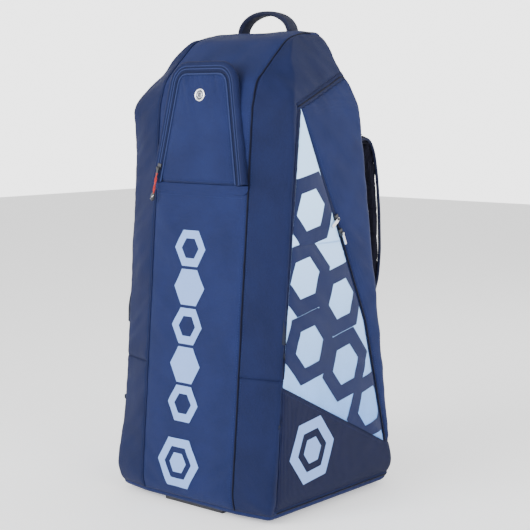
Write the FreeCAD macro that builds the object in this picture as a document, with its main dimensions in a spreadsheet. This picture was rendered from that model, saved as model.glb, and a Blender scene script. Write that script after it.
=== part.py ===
"""Racket tournament bag: an upright six-racket bag with two hinged side doors and a small top pocket.

The body is a tapering shell. Horizontal eight-sided sections are lofted into a closed envelope, and the
same loft at several insets gives the walls, the doors' skins and the inner space. Panels are cut from
those walls where the seams run. Frame: millimetres, +Z up, front towards -Y, right side towards +X,
origin on the floor under the middle of the base.
"""

import FreeCAD
import Part
import Sketcher
import math
import os

V = FreeCAD.Vector
OUT = "parts"

# Sections of the body, bottom to top: name, height, half width, front face and back face.
LEVELS = [
    ("base", 8, 152, -152, 170),
    ("girth", 36, 170, -166, 184),
    ("shoulder", 640, 170, -117, 78),
    ("slope", 680, 153, -106, 73),
    ("brow", 712, 128, -71, 70),
    ("crown", 741, 107, -30, 67),
    ("top", 757, 96, 10, 62),
]
# How far each section drops for one millimetre of inset, so that sloping walls keep their thickness.
LEVEL_DROP = {"base": -1.0, "girth": 0, "shoulder": 0, "slope": 0.4, "brow": 0.6, "crown": 0.85, "top": 1.0}

SIZES = {
    "wall": 5,  # foam and fabric of a fixed panel
    "skin": 2.5,  # outer fabric of a side door
    "rim_depth": 12,  # from the outside to a door's inner wall
    "door_depth": 16,  # from the outside to a door's inside
    "rim_width": 9,
    "piping": 2,
    "piping_width": 3.4,
    "spine_half": 99,
    "back_run": 45,
    "front_bevel": 20,
    "back_bevel": 20,
    "floor_top": 14,
    "corner_seam": 225,
    "divider": 3,
    "back_split_y": 45,
    "back_split_z": 702,
    "hinge_offset": 4,  # the door's hinge line lies this far behind the front corner
    "door_bottom": 22.5,
    "door_lift": 4,  # a door's inner layers start this far above its skin, to clear the base as it swings
    "door_top_front_y": -81,
    "door_top_front_z": 637,
    "door_top_slope": 0.36,
    "door_gap": 0.5,
    "zip_x": 128,
    "zip_width": 10,
    "band": 10.5,
    "reach": 270,  # how far cutting prisms run past the body
    "foot_half": 63,
    "foot_front": -148,
    "foot_rear": 142,
    "foot_width": 24,
    "flap_top_y": -84,
    "flap_top_z": 637,
    "flap_low_y": -126,
    "flap_low_z": 214,
    "zip_top_y": 0,
    "zip_top_z": 470,
    "zip_bend_y": 83,
    "zip_bend_z": 293,
    "zip_end_y": 143,
    "zip_end_z": 80,
    "gape_top": 428,
    "side_zip_width": 8,
    "fit_gap": 0.4,
    "pocket_z": 518,
    "pocket_proud": 8,
    "pocket_low_half": 97,
    "pocket_high_half": 62,
    "pocket_high": 188,
    "pocket_round": 26,
    "gusset_wall": 2,
    "tape": 13,
    "flap_thick": 3,
    "sill": 3,
    "lining_low_half": 66,
    "lining_high_half": 56,
    "lining_low": 8,
    "lining_high": 118,
    "lining_depth": 50,
    "lining_wall": 1.5,
    "badge_radius": 10,
    "badge_thick": 2,
    "badge_up": 139,
    "handle_y": 37,
    "handle_half": 55,
    "handle_top": 794,
    "handle_foot": 758.5,
    "handle_thick": 5,
    "handle_width": 29,
    "strap_x": 85,
    "strap_width": 62,
    "strap_thick": 12,
    "strap_pivot": 8,
    "webbing": 25,
    "webbing_thick": 2,
    "anchor_lift": 290,
    "anchor_pad": 248,
    "anchor_low": -240,
    "strap_mid_z": 340,
    "main_slider_z": 580,
    "top_slider_up": 24,
    "pull_tab": 40,
}


def make_sheet(doc):
    """The driving dimensions, as plain numbers with aliases."""
    sheet = doc.addObject("Spreadsheet::Sheet", "Sizes")
    rows = dict(SIZES)
    for name, height, half, front, back in LEVELS:
        rows["z_" + name] = height
        rows["half_" + name] = half
        rows["front_" + name] = front
        rows["back_" + name] = back
    for row, (alias, value) in enumerate(rows.items(), start=1):
        sheet.set(f"A{row}", alias)
        sheet.set(f"B{row}", str(value))
        sheet.setAlias(f"B{row}", alias)
    doc.recompute()
    return sheet


doc = FreeCAD.newDocument("racket_bag")
sheet = make_sheet(doc)
scratch = doc.addObject("Spreadsheet::Sheet", "Scratch")


def size(alias):
    """A driving dimension as a number."""
    return float(getattr(sheet, alias))


def value_of(text):
    """The number that an expression over the sheet gives."""
    scratch.set("A1", "=" + text)
    scratch.recompute()
    return float(scratch.get("A1"))


def expr(text):
    """Short form: a bare alias in braces becomes a reference to the sheet."""
    return text.replace("{", "Sizes.").replace("}", "")


# ---------------------------------------------------------------- sketches and solids


def origin_plane(body, role):
    return [f for f in body.Origin.OriginFeatures if f.Role == role][0]


def polygon_sketch(body, name, points, role="XY_Plane", height="0"):
    """A closed polygon whose corners are expressions over the sheet."""
    sketch = body.newObject("Sketcher::SketchObject", name)
    sketch.AttachmentSupport = [(origin_plane(body, role), "")]
    sketch.MapMode = "FlatFace"
    sketch.setExpression("AttachmentOffset.Base.z", expr(height))
    numbers = [(value_of(expr(a)), value_of(expr(b))) for a, b in points]
    count = len(points)
    for i in range(count):
        start, end = numbers[i], numbers[(i + 1) % count]
        sketch.addGeometry(Part.LineSegment(V(*start, 0), V(*end, 0)), False)
    for i in range(count):
        sketch.addConstraint(Sketcher.Constraint("Coincident", i, 2, (i + 1) % count, 1))
    for i, (across, up) in enumerate(points):
        for kind, text, number in (("DistanceX", across, numbers[i][0]), ("DistanceY", up, numbers[i][1])):
            index = sketch.addConstraint(Sketcher.Constraint(kind, -1, 1, i, 1, number))
            sketch.setExpression(f"Constraints[{index}]", expr(text))
    return sketch


def prism(name, points, start, end, role="YZ_Plane", placement=None):
    """A PartDesign body: a polygon padded from start to end along its plane's normal."""
    body = doc.addObject("PartDesign::Body", name)
    body.Label = name
    sketch = polygon_sketch(body, name + "_outline", points, role, start)
    pad = body.newObject("PartDesign::Pad", name + "_pad")
    pad.Profile = sketch
    pad.setExpression("Length", expr(f"({end}) - ({start})"))
    body.Tip = pad
    if placement is not None:
        body.Placement = placement
    doc.recompute()
    return body


def box(name, x_range, y_range, z_range, placement=None):
    """A Part::Box between expressions."""
    solid = doc.addObject("Part::Box", name)
    for axis, side, (low, high) in zip("xyz", ("Length", "Width", "Height"), (x_range, y_range, z_range)):
        solid.setExpression(side, expr(f"({high}) - ({low})"))
        solid.setExpression(f"Placement.Base.{axis}", expr(low))
    solid.Label = name
    doc.recompute()
    if placement is not None:
        for axis in "xyz":
            solid.setExpression(f"Placement.Base.{axis}", None)
        local = V(*(value_of(expr(r[0])) for r in (x_range, y_range, z_range)))
        solid.Placement = placement.multiply(FreeCAD.Placement(local, FreeCAD.Rotation()))
    return solid


def cylinder(name, radius, low, high, placement):
    """A Part::Cylinder along its placement's own Z."""
    solid = doc.addObject("Part::Cylinder", name)
    solid.setExpression("Radius", expr(radius))
    solid.setExpression("Height", expr(f"({high}) - ({low})"))
    shift = FreeCAD.Placement(V(0, 0, value_of(expr(low))), FreeCAD.Rotation())
    solid.Placement = placement.multiply(shift)
    solid.Label = name
    return solid


def join(kind, name, base, *tools):
    """Booleans as document objects: kind is Cut, Common or Fuse."""
    result = base
    for number, tool in enumerate(tools):
        last = number == len(tools) - 1
        made = doc.addObject("Part::" + kind, name if last else f"{name}_step{number}")
        made.Base = result
        made.Tool = tool
        made.Refine = True
        result = made
    result.Label = name
    doc.recompute()
    return result


def gather(name, members):
    """One node of several separate solids."""
    group = doc.addObject("Part::Compound", name)
    group.Links = members
    group.Label = name
    return group


def mirrored(name, source):
    """The same piece on the left side."""
    copy = doc.addObject("Part::Mirroring", name)
    copy.Source = source
    copy.Normal = V(1, 0, 0)
    copy.Label = name
    return copy


def round_edges(body, radius, points, tolerance=0.6):
    """A PartDesign::Fillet on the padded edges whose middle projects onto the given local points."""
    base = body.Tip
    names = []
    for number, edge in enumerate(base.Shape.Edges, start=1):
        middle = (edge.Vertexes[0].Point + edge.Vertexes[-1].Point) * 0.5
        if any((middle - V(*p)).Length < tolerance for p in points):
            names.append(f"Edge{number}")
    fillet = body.newObject("PartDesign::Fillet", body.Name + "_round")
    fillet.Base = (base, names)
    fillet.setExpression("Radius", expr(radius))
    body.Tip = fillet
    doc.recompute()
    return body


# ---------------------------------------------------------------- the envelope


def section_points(name, inset):
    """An eight-sided section: flat front and back, bevelled corners, flat sides.

    The bevels keep one direction at every level, so that every face of the loft is flat.
    """
    half = f"({{half_{name}}} - {inset})"
    front = f"({{front_{name}}} + {inset})"
    back = f"({{back_{name}}} - {inset})"
    spine = f"min({{spine_half}}; {half} - 2)"
    front_corner = f"({front} + {{front_bevel}} * ({half} - {spine}) / ({{half_girth}} - {{spine_half}}))"
    back_corner = f"({back} - {{back_bevel}})"
    right = [(spine, front), (half, front_corner), (half, back_corner), (f"({half} - {{back_run}})", back)]
    left = [(f"-({x})", y) for x, y in reversed(right)]
    return right + left


def envelope(name, inset):
    """The closed loft through all sections, moved in by inset millimetres."""
    body = doc.addObject("PartDesign::Body", name)
    sketches = []
    for level, *_ in LEVELS:
        height = f"{{z_{level}}} - {LEVEL_DROP[level]} * {inset}"
        sketches.append(polygon_sketch(body, f"{name}_{level}", section_points(level, inset), height=height))
    loft = body.newObject("PartDesign::AdditiveLoft", name + "_loft")
    loft.Profile = sketches[0]
    loft.Sections = sketches[1:]
    loft.Ruled = True
    body.Tip = loft
    doc.recompute()
    return body


# The straight front and back faces lean: millimetres of Y for one millimetre of Z.
FRONT_LEAN = "(({front_shoulder} - {front_girth}) / ({z_shoulder} - {z_girth}))"
BACK_LEAN = "(({back_shoulder} - {back_girth}) / ({z_shoulder} - {z_girth}))"


def hinge_y(height, offset="0"):
    """Y of a side door's hinge line at a height."""
    corner = f"({{front_girth}} + {{front_bevel}} + {{hinge_offset}} + {offset})"
    return f"({corner} + (({height}) - {{z_girth}}) * {FRONT_LEAN})"


def door_outline(bottom, rise, front="0"):
    """A side door's outline seen from the side, grown upwards by rise and with its own bottom."""
    top = f"({{door_top_front_z}} + {rise} + ({{reach}} - {{door_top_front_y}}) * {{door_top_slope}})"
    low = f"({{door_top_front_z}} + {rise} - 12 * {{door_top_slope}})"
    return [
        (hinge_y(bottom, front), bottom),
        ("{reach}", bottom),
        ("{reach}", top),
        (hinge_y(low, front), low),
    ]


# ---------------------------------------------------------------- fixed body panels


def build_shell():
    """Everything that is cut from the fixed walls, and the inner divider."""
    outer = envelope("outer", "0")
    proud = envelope("proud", "-{piping}")
    inner = envelope("inner", "{wall}")
    shell = join("Cut", "shell", outer, inner)
    cover = join("Cut", "cover", proud, outer)
    whole = ("-{reach}", "{reach}")
    above = ("{floor_top}", "800")

    back_box = box(
        "back_box",
        ("-{zip_x}", "{zip_x}"),
        ("{back_split_y}", "{reach}"),
        ("{floor_top}", "{back_split_z}"),
    )
    spine_box = box("spine_box", ("-{spine_half}", "{spine_half}"), whole, above)
    nodes = {}
    floor_box = box("floor_box", whole, whole, ("0", "{floor_top}"))
    nodes["base_panel"] = join("Common", "base_panel", shell, floor_box)
    nodes["back_panel"] = join("Common", "back_panel", shell, back_box)
    spine_strip = join("Common", "spine_strip", shell, spine_box)
    spine = join("Cut", "spine_whole", spine_strip, back_box)

    band_prism = prism("band_prism", door_outline("{floor_top}", "{band}"), "{zip_x}", "{reach}")
    doorway = door_outline("{door_bottom} - 4 * {door_gap}", "{door_gap}")
    gap_prism = prism("gap_prism", doorway, "{zip_x} + {zip_width}", "{reach}")
    zip_band = join("Common", "zip_band", shell, band_prism)
    nodes["right_main_zip"] = join("Cut", "right_main_zip", zip_band, gap_prism)

    side_box = box("side_box", ("{spine_half}", "{reach}"), whole, above)
    side_strip = join("Common", "side_strip", shell, side_box)
    side_rest = join("Cut", "side_rest", side_strip, back_box, band_prism)
    corner_box = box("corner_box", ("0", "{reach}"), whole, ("{floor_top}", "{corner_seam}"))
    nodes["right_corner_panel"] = join("Common", "right_corner_panel", side_rest, corner_box)
    nodes["right_shoulder_panel"] = join("Cut", "right_shoulder_panel", side_rest, corner_box)

    piping_box = box(
        "piping_box",
        ("{spine_half} - {piping_width} / 2", "{spine_half} + {piping_width} / 2"),
        ("-{reach}", "{back_split_y} - 20"),
        ("{floor_top}", "800"),
    )
    nodes["right_piping"] = join("Common", "right_piping", cover, piping_box)

    sheet_box = box("sheet_box", ("-{divider} / 2", "{divider} / 2"), whole, ("0", "800"))
    divider = join("Common", "divider_whole", inner, sheet_box)
    return nodes, outer, spine, divider


def build_feet(nodes):
    """The moulded rubber skid under the base: a front and a rear bar joined by a keel."""
    across = ("-{foot_half}", "{foot_half}")
    up = ("0", "{z_base}")
    front = box("front_bar", across, ("{foot_front}", "{foot_front} + {foot_width}"), up)
    rear = box("rear_bar", across, ("{foot_rear}", "{foot_rear} + {foot_width}"), up)
    keel = box("keel", ("-{foot_width} / 2", "{foot_width} / 2"), ("{foot_front} + 1", "{foot_rear} + 1"), up)
    skid = join("Fuse", "skid", front, keel, rear)
    nodes["base_skid"] = skid


# ---------------------------------------------------------------- side doors


def zip_side(shift):
    """The side pocket's zip line from top to bottom, moved across by shift."""
    return [
        (f"{{zip_top_y}} + ({shift})", "{zip_top_z}"),
        (f"{{zip_bend_y}} + ({shift})", "{zip_bend_z}"),
        (f"{{zip_end_y}} + ({shift})", "{zip_end_z}"),
    ]


def build_door(nodes, outer):
    """The right side door: inner wall, rim and the skins that carry the side pocket."""
    skin_in = envelope("skin_in", "{skin}")
    rim_in = envelope("rim_in", "{rim_depth}")
    door_in = envelope("door_in", "{door_depth}")
    start = "{zip_x} + {zip_width} + 0.6"
    door = prism("door_prism", door_outline("{door_bottom}", "0", "{door_gap}"), start, "{reach}")
    core_outline = door_outline("{door_bottom} + {door_lift} + {rim_width}", "-{rim_width}", "{rim_width}")
    core = prism("core_prism", core_outline, "{zip_x} + {zip_width} + {rim_width}", "{reach}")
    inside_outline = door_outline("{door_bottom} + {door_lift}", "0", "{door_gap}")
    inside = prism("inside_prism", inside_outline, start, "{reach}")
    skin = join("Common", "door_skin", join("Cut", "skin_layer", outer, skin_in), door)
    rim_layer = join("Common", "rim_layer", join("Cut", "rim_shell", skin_in, rim_in), inside)
    nodes["right_door_rim"] = join("Cut", "right_door_rim", rim_layer, core)
    wall_shell = join("Cut", "wall_shell", rim_in, door_in)
    nodes["right_door_wall"] = join("Common", "right_door_wall", wall_shell, inside)

    gap = "{fit_gap}"
    half = "{side_zip_width} / 2"
    front_edge = [("{flap_top_y}", "{flap_top_z}"), ("{flap_low_y}", "{flap_low_z}")]
    under = "{half_girth} - 2 * {skin}"
    panel = prism("pocket_prism", front_edge[::-1] + zip_side(f"-{half}"), under, "{reach}")
    grown_front = [
        (f"{{flap_low_y}} - {gap}", f"{{flap_low_z}} - {gap}"),
        (f"{{flap_top_y}} - {gap}", f"{{flap_top_z}} + 2 * {gap}"),
    ]
    grown_zip = zip_side(f"-{half} + {gap}")
    grown_zip[2] = (grown_zip[2][0], f"{grown_zip[2][1]} - 2 * {gap}")
    grown = prism("pocket_gap_prism", grown_front + grown_zip, under, "{reach}")
    tape_outline = zip_side(f"-{half} + {gap}") + zip_side(half)[::-1]
    tape = prism("tape_prism", tape_outline, under, "{reach}")
    low = prism(
        "low_prism",
        [
            ("-{reach}", "0"),
            ("{reach}", "0"),
            ("{reach}", "{zip_end_z} - 60"),
            ("{zip_end_y} + {side_zip_width} / 2", "{zip_end_z} - 0.4"),
            ("{flap_low_y} - 0.4", "{flap_low_z} - 0.4"),
            ("{flap_top_y} - 0.4", "{flap_top_z}"),
            ("-{reach}", "{flap_top_z}"),
        ],
        "{zip_x}",
        "{reach}",
    )
    panel_skin = join("Common", "pocket_skin", skin, panel)
    gape_box = box("gape_box", ("0", "{reach}"), ("-{reach}", "{reach}"), ("0", "{gape_top}"))
    upper_box = box("upper_box", ("0", "{reach}"), ("-{reach}", "{reach}"), ("{gape_top} + {fit_gap}", "800"))
    nodes["right_pocket_flap"] = join("Common", "right_pocket_flap", panel_skin, gape_box)
    nodes["right_pocket_top"] = join("Common", "right_pocket_top", panel_skin, upper_box)
    nodes["right_side_zip"] = join("Common", "right_side_zip", skin, tape)
    low_skin = join("Common", "low_skin", skin, low)
    nodes["right_lower_panel"] = join("Cut", "right_lower_panel", low_skin, grown, tape)
    nodes["right_rear_panel"] = join("Cut", "right_rear_panel", skin, low, grown, tape)


# ---------------------------------------------------------------- top pocket


def pocket_frame():
    """A placement whose X is the bag's X, Y climbs the leaning front face and Z points out of it."""
    lean = value_of(expr(FRONT_LEAN))
    height = size("pocket_z")
    y = size("front_girth") + (height - size("z_girth")) * lean
    tilt = 90 - math.degrees(math.atan(lean))
    return FreeCAD.Placement(V(0, y, height), FreeCAD.Rotation(V(1, 0, 0), tilt))


def pocket_outline(inset, bottom):
    """The pocket's outline: a trapezoid, narrower at the top."""
    low = f"({{pocket_low_half}} - ({inset}))"
    high = f"({{pocket_high_half}} - ({inset}))"
    top = f"({{pocket_high}} - ({inset}))"
    return [(f"-{low}", bottom), (low, bottom), (high, top), (f"-{high}", top)]


def pocket_plate(name, inset, bottom, low, high, radius):
    """A plate with the pocket's outline and rounded top corners, between two heights above the face."""
    body = prism(name, pocket_outline(inset, bottom), low, high, role="XY_Plane")
    half = value_of(expr(f"{{pocket_high_half}} - ({inset})"))
    top = value_of(expr(f"{{pocket_high}} - ({inset})"))
    middle = value_of(expr(f"(({low}) + ({high})) / 2"))
    round_edges(body, radius, [(half, top, middle), (-half, top, middle)])
    body.Placement = pocket_frame()
    doc.recompute()
    return body


def build_top_pocket(nodes, outer, spine, divider):
    """Gusset, zip tape, flap, badge and the lining that sinks into the bag."""
    out = "{pocket_proud}"
    whole = pocket_plate("gusset_out", "0", "-{sill}", "-50", out, "{pocket_round}")
    tape_round = "{pocket_round} - {gusset_wall}"
    hollow = pocket_plate("gusset_in", "{gusset_wall}", "0", "-52", f"{out} + 1", tape_round)
    ring = join("Cut", "gusset_ring", whole, hollow)
    nodes["top_pocket_gusset"] = join("Cut", "top_pocket_gusset", ring, outer)

    under = f"{out} - {{flap_thick}}"
    flap_round = "{pocket_round} - 12"
    tape_out = pocket_plate("tape_out", "{gusset_wall}", "0", under, f"{out} - 1", tape_round)
    tape_edge = "{gusset_wall} + {tape}"
    tape_in = pocket_plate("tape_in", tape_edge, "-1", f"{under} - 1", out, flap_round)
    nodes["top_pocket_zip"] = join("Cut", "top_pocket_zip", tape_out, tape_in)
    flap_edge = f"{tape_edge} + 2.5 * {{fit_gap}}"
    flap = pocket_plate("top_pocket_flap", flap_edge, "{fit_gap}", under, out, flap_round)
    nodes["top_pocket_flap"] = flap

    face = pocket_frame()
    lift = FreeCAD.Placement(V(0, size("badge_up"), 0), FreeCAD.Rotation())
    nodes["badge"] = cylinder("badge", "{badge_radius}", out, f"{out} + {{badge_thick}}", face.multiply(lift))

    def lining_prism(name, inset, low, high):
        wide = f"({{lining_low_half}} - {inset})"
        narrow = f"({{lining_high_half}} - {inset})"
        bottom = f"({{lining_low}} + {inset})"
        top = f"({{lining_high}} - {inset})"
        outline = [(f"-{wide}", bottom), (wide, bottom), (narrow, top), (f"-{narrow}", top)]
        return prism(name, outline, low, high, role="XY_Plane", placement=face)

    block = lining_prism("lining_block", "0", "-{lining_depth}", "0")
    hollow = lining_prism("lining_hollow", "{lining_wall}", "-{lining_depth} + {lining_wall}", "1")
    nodes["top_pocket_lining"] = join("Cut", "top_pocket_lining", block, hollow)
    nodes["spine_panel"] = join("Cut", "spine_panel", spine, block)
    nodes["center_divider"] = join("Cut", "center_divider", divider, block)


# ---------------------------------------------------------------- handle


def build_handle(nodes):
    """A webbing loop that arches across the top, and the tabs that it is sewn to."""
    steps = 18
    arcs = []
    for trim in ("0", "{handle_thick}"):
        arc = []
        for k in range(steps + 1):
            turn = math.pi * k / steps
            across = f"-({{handle_half}} - {trim}) * {math.cos(turn):.5f}"
            up = f"{{handle_foot}} + ({{handle_top}} - {{handle_foot}} - {trim}) * {math.sin(turn):.5f}"
            arc.append((across, up))
        arcs.append(arc)
    start = "-{handle_y} - {handle_width} / 2"
    end = "-{handle_y} + {handle_width} / 2"
    arch = prism("handle_arch", arcs[0] + arcs[1][::-1], start, end, role="XZ_Plane")

    # The lower ends are round about the line on which the loop folds over.
    fold = "({handle_foot} + {handle_width} / 2)"
    line = FreeCAD.Rotation(V(0, 1, 0), 90)
    place = FreeCAD.Placement(V(0, size("handle_y"), value_of(expr(fold))), line)
    ends = cylinder("handle_ends", "{handle_width} / 2", "-{handle_half} - 2", "{handle_half} + 2", place)
    above = box(
        "handle_above",
        ("-{handle_half} - 2", "{handle_half} + 2"),
        ("{handle_y} - {handle_width}", "{handle_y} + {handle_width}"),
        (fold, "{handle_top} + 2"),
    )
    nodes["top_handle"] = join("Common", "top_handle", arch, join("Fuse", "handle_keep", ends, above))

    tabs = []
    for side, name in ((-1, "left_tab"), (1, "right_tab")):
        across = sorted((side * (size("handle_half") - 19), side * (size("handle_half") + 12)))
        tabs.append(
            box(
                name,
                (str(across[0]), str(across[1])),
                ("{handle_y} - {handle_width} / 2 - 2", "{handle_y} + {handle_width} / 2 + 2"),
                ("{z_top}", "{z_top} + 1"),
            )
        )
    nodes["top_handle_tabs"] = gather("top_handle_tabs", tabs)


# ---------------------------------------------------------------- shoulder straps


def back_frame(x, height):
    """A placement on the back face: Y climbs the face, Z points out of it."""
    lean = value_of(expr(BACK_LEAN))
    y = size("back_girth") + (height - size("z_girth")) * lean
    up = V(0, lean, 1).normalize()
    out = V(0, 1, -lean).normalize()
    rotation = FreeCAD.Rotation(up.cross(out), up, out, "ZYX")
    return FreeCAD.Placement(V(x, y, height), rotation)


def band_points(line, thick):
    """A closed outline of even thickness about a centre line, with mitred corners."""
    sides = ([], [])
    for i, point in enumerate(line):
        before = line[max(i - 1, 0)]
        after = line[min(i + 1, len(line) - 1)]
        first = V(point[0] - before[0], point[1] - before[1]) if i else None
        second = V(after[0] - point[0], after[1] - point[1]) if i < len(line) - 1 else None
        first = (first or second).normalize()
        second = (second or first).normalize()
        along = (first + second).normalize()
        reach = thick / 2 / max(0.3, along.dot(first))
        across = V(-along.y, along.x) * reach
        sides[0].append((point[0] + across.x, point[1] + across.y))
        sides[1].append((point[0] - across.x, point[1] - across.y))
    return sides[0] + sides[1][::-1]


# Centre lines of the right strap, as (height above the strap's middle, distance out from the back).
STRAP_PAD = [(238, 38), (241, 60), (232, 72), (210, 78), (176, 79), (146, 75), (62, 60), (-14, 38)]
STRAP_LIFT = [(286, 24), (282, 27), (243, 68)]
STRAP_TAB = [(248, 25), (246, 30), (239, 37)]
STRAP_LOW = [(-14, 38), (-60, 30), (-232, 24)]


def strap_band(name, line, wide, thick, frame):
    """A flat band that follows a centre line seen from the side."""
    outline = [(str(round(w, 3)), str(round(s, 3))) for s, w in band_points(line, thick)]
    turn = FreeCAD.Placement(V(), FreeCAD.Rotation(V(0, 0, 1), V(0, 1, 0), V(-1, 0, 0), "ZYX"))
    body = prism(name, outline, f"-({wide}) / 2", f"({wide}) / 2", role="XY_Plane")
    body.Placement = frame.multiply(turn)
    doc.recompute()
    return body


def anchor_points():
    return [size("anchor_lift"), size("anchor_pad"), size("anchor_low")]


def build_strap(nodes):
    """The right shoulder strap: padded part, webbing, and the hardware that lets the loop swing."""
    frame = back_frame(size("strap_x"), size("strap_mid_z"))
    pivot = "{strap_pivot}"
    patches, pins, hooks = [], [], []
    upright = FreeCAD.Rotation(V(1, 0, 0), -90)
    for number, along in enumerate(anchor_points()):
        here = frame.multiply(FreeCAD.Placement(V(0, along, 0), FreeCAD.Rotation()))
        patches.append(box(f"patch{number}", ("-16", "16"), ("-17", "17"), ("0.05", "2"), here))
        ear_low = box(f"ear_low{number}", ("-3.2", "3.2"), ("-8", "-5.6"), ("2", f"{pivot} + 3.2"), here)
        ear_high = box(f"ear_high{number}", ("-3.2", "3.2"), ("5.6", "8"), ("2", f"{pivot} + 3.2"), here)
        axis = here.multiply(FreeCAD.Placement(V(0, 0, size("strap_pivot")), upright))
        pin = cylinder(f"pin{number}", "2", "-7", "7", axis)
        pins.append(join("Fuse", f"anchor{number}", ear_low, ear_high, pin))
        eye = cylinder(f"eye{number}", "4.5", "-5", "5", axis)
        shank = box(f"shank{number}", ("-4.4", "4.4"), ("-4.6", "4.6"), (f"{pivot} + 2.6", "24"), here)
        hole = cylinder(f"hole{number}", "2.08", "-6", "6", axis)
        hooks.append(join("Cut", f"hook{number}", join("Fuse", f"hook_body{number}", eye, shank), hole))
    pad = strap_band("right_strap_pad", STRAP_PAD, "{strap_width}", size("strap_thick"), frame)
    nodes["right_strap_pad"] = pad
    lock_frame = frame.multiply(FreeCAD.Placement(V(0, -34, 34.6), FreeCAD.Rotation(V(1, 0, 0), -10)))
    lock = join(
        "Cut",
        "ladder_lock",
        box("lock_body", ("-17", "17"), ("-13", "13"), ("-3.5", "3.5"), lock_frame),
        box("lock_slot", ("-13.2", "13.2"), ("-20", "20"), ("-1.6", "1.6"), lock_frame),
    )
    bands = []
    for name, line in (("lift", STRAP_LIFT), ("tab", STRAP_TAB), ("low", STRAP_LOW)):
        band = strap_band(f"web_{name}", line, "{webbing}", size("webbing_thick"), frame)
        trim = join("Cut", f"web_{name}_trim", band, pad, lock, *hooks)
        bands.append(trim)
    nodes["right_strap_webbing"] = gather("right_strap_webbing", bands)
    nodes["right_strap_hardware"] = gather("right_strap_hardware", hooks + [lock])
    left_patches = [mirrored(f"left_patch{i}", p) for i, p in enumerate(patches)]
    left_pins = [mirrored(f"left_pin{i}", p) for i, p in enumerate(pins)]
    nodes["strap_patches"] = gather("strap_patches", patches + left_patches)
    nodes["strap_anchors"] = gather("strap_anchors", pins + left_pins)


# ---------------------------------------------------------------- zip sliders and pulls


def slider(name, frame, stud=False):
    """A zip slider on its tape. Local Y points along the zip, Z out of the fabric."""
    nose = [("-2.4", "-5.5"), ("2.4", "-5.5"), ("3.7", "2")]
    outline = nose + [("3.7", "5.5"), ("-3.7", "5.5"), ("-3.7", "2")]
    plate = prism(name + "_plate", outline, "0.3", "3", role="XY_Plane", placement=frame)
    if stud:
        here = frame.multiply(FreeCAD.Placement(V(0, -2, 0), FreeCAD.Rotation()))
        post = cylinder(name + "_post", "1", "2.5", "6.5", here)
        head = cylinder(name + "_head", "2", "6", "6.8", here)
        return join("Fuse", name, plate, post, head)
    cheeks = [
        box(name + "_cheek_left", ("-3.2", "-2.2"), ("-4", "0"), ("2.8", "6.4"), frame),
        box(name + "_cheek_right", ("2.2", "3.2"), ("-4", "0"), ("2.8", "6.4"), frame),
    ]
    across = FreeCAD.Placement(V(0, -2, 5.2), FreeCAD.Rotation(V(0, 1, 0), 90))
    pin = cylinder(name + "_pin", "0.9", "-2.6", "2.6", frame.multiply(across))
    return join("Fuse", name, plate, *cheeks, pin)


def pull(name, frame, length):
    """A pull tab whose eye turns on a slider's pin. It hangs towards local -Y."""
    across = frame.multiply(FreeCAD.Placement(V(0, -2, 5.2), FreeCAD.Rotation(V(0, 1, 0), 90)))
    eye = cylinder(name + "_eye", "1.9", "-1.9", "1.9", across)
    tab = box(name + "_tab", ("-1.9", "1.9"), (f"-2 - {length}", "-3.2"), ("4.4", "6.0"), frame)
    hole = cylinder(name + "_hole", "0.98", "-3", "3", across)
    return join("Cut", name, join("Fuse", name + "_body", eye, tab), hole)


def swivel_pull(name, frame, length, angle):
    """A pull tab that swivels on a slider's stud, at rest turned by angle about the stud."""
    turn = FreeCAD.Placement(V(0, -2, 0), FreeCAD.Rotation(V(0, 0, 1), angle))
    here = frame.multiply(turn)
    eye = cylinder(name + "_eye", "2.8", "3.6", "5.4", here)
    tab = box(name + "_tab", ("-3", "3"), (f"-{length}", "-2"), ("3.6", "5.4"), here)
    hole = cylinder(name + "_hole", "1.08", "3", "6", here)
    return join("Cut", name, join("Fuse", name + "_body", eye, tab), hole)


def cord_tab(name, frame, start, length):
    """The grip of a pull: a moulded tab around the end of the metal pull."""
    low = f"-{start} - {length}"
    body = box(name + "_grip", ("-2.6", "2.6"), (low, f"-{start}"), ("2.9", "7.5"), frame)
    end = box(name + "_end", ("-4", "4"), (f"{low} - 13", f"{low} + 1"), ("2.6", "7.8"), frame)
    return join("Fuse", name, body, end)


def top_slider_frame():
    """On the left leg of the top pocket's zip, Y up along that leg."""
    low = size("pocket_low_half") - size("gusset_wall") - size("tape") / 2
    high = size("pocket_high_half") - size("gusset_wall") - size("tape") / 2
    run = size("pocket_high")
    up = size("top_slider_up")
    x = -(low - (low - high) * up / run)
    turn = -math.degrees(math.atan2(low - high, run))
    local = FreeCAD.Placement(V(x, up, size("pocket_proud") - 1), FreeCAD.Rotation(V(0, 0, 1), turn))
    return pocket_frame().multiply(local)


def side_slider_frame(along):
    """On the right side zip, along millimetres below its top end, Y up the zip."""
    top = V(0, size("zip_top_y"), size("zip_top_z"))
    bend = V(0, size("zip_bend_y"), size("zip_bend_z"))
    down = (bend - top).normalize()
    place = top + down * along + V(size("half_girth"), 0, 0)
    up = down * -1
    out = V(1, 0, 0)
    return FreeCAD.Placement(place, FreeCAD.Rotation(up.cross(out), up, out, "ZYX"))


def main_slider_frame():
    """On the right main zip, on the bevel behind the side, Y up the zip."""
    height = size("main_slider_z")
    lean = value_of(expr(BACK_LEAN))
    middle = size("zip_x") + size("zip_width") / 2
    bevel_run = size("back_run")
    drop = size("back_bevel") * (middle - size("half_girth") + bevel_run) / bevel_run
    y = size("back_girth") + (height - size("z_girth")) * lean - drop
    up = V(0, lean, 1).normalize()
    along = V(bevel_run, -size("back_bevel"), 0)
    out = up.cross(along).normalize()
    return FreeCAD.Placement(V(middle, y, height), FreeCAD.Rotation(up.cross(out), up, out, "ZYX"))


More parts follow.
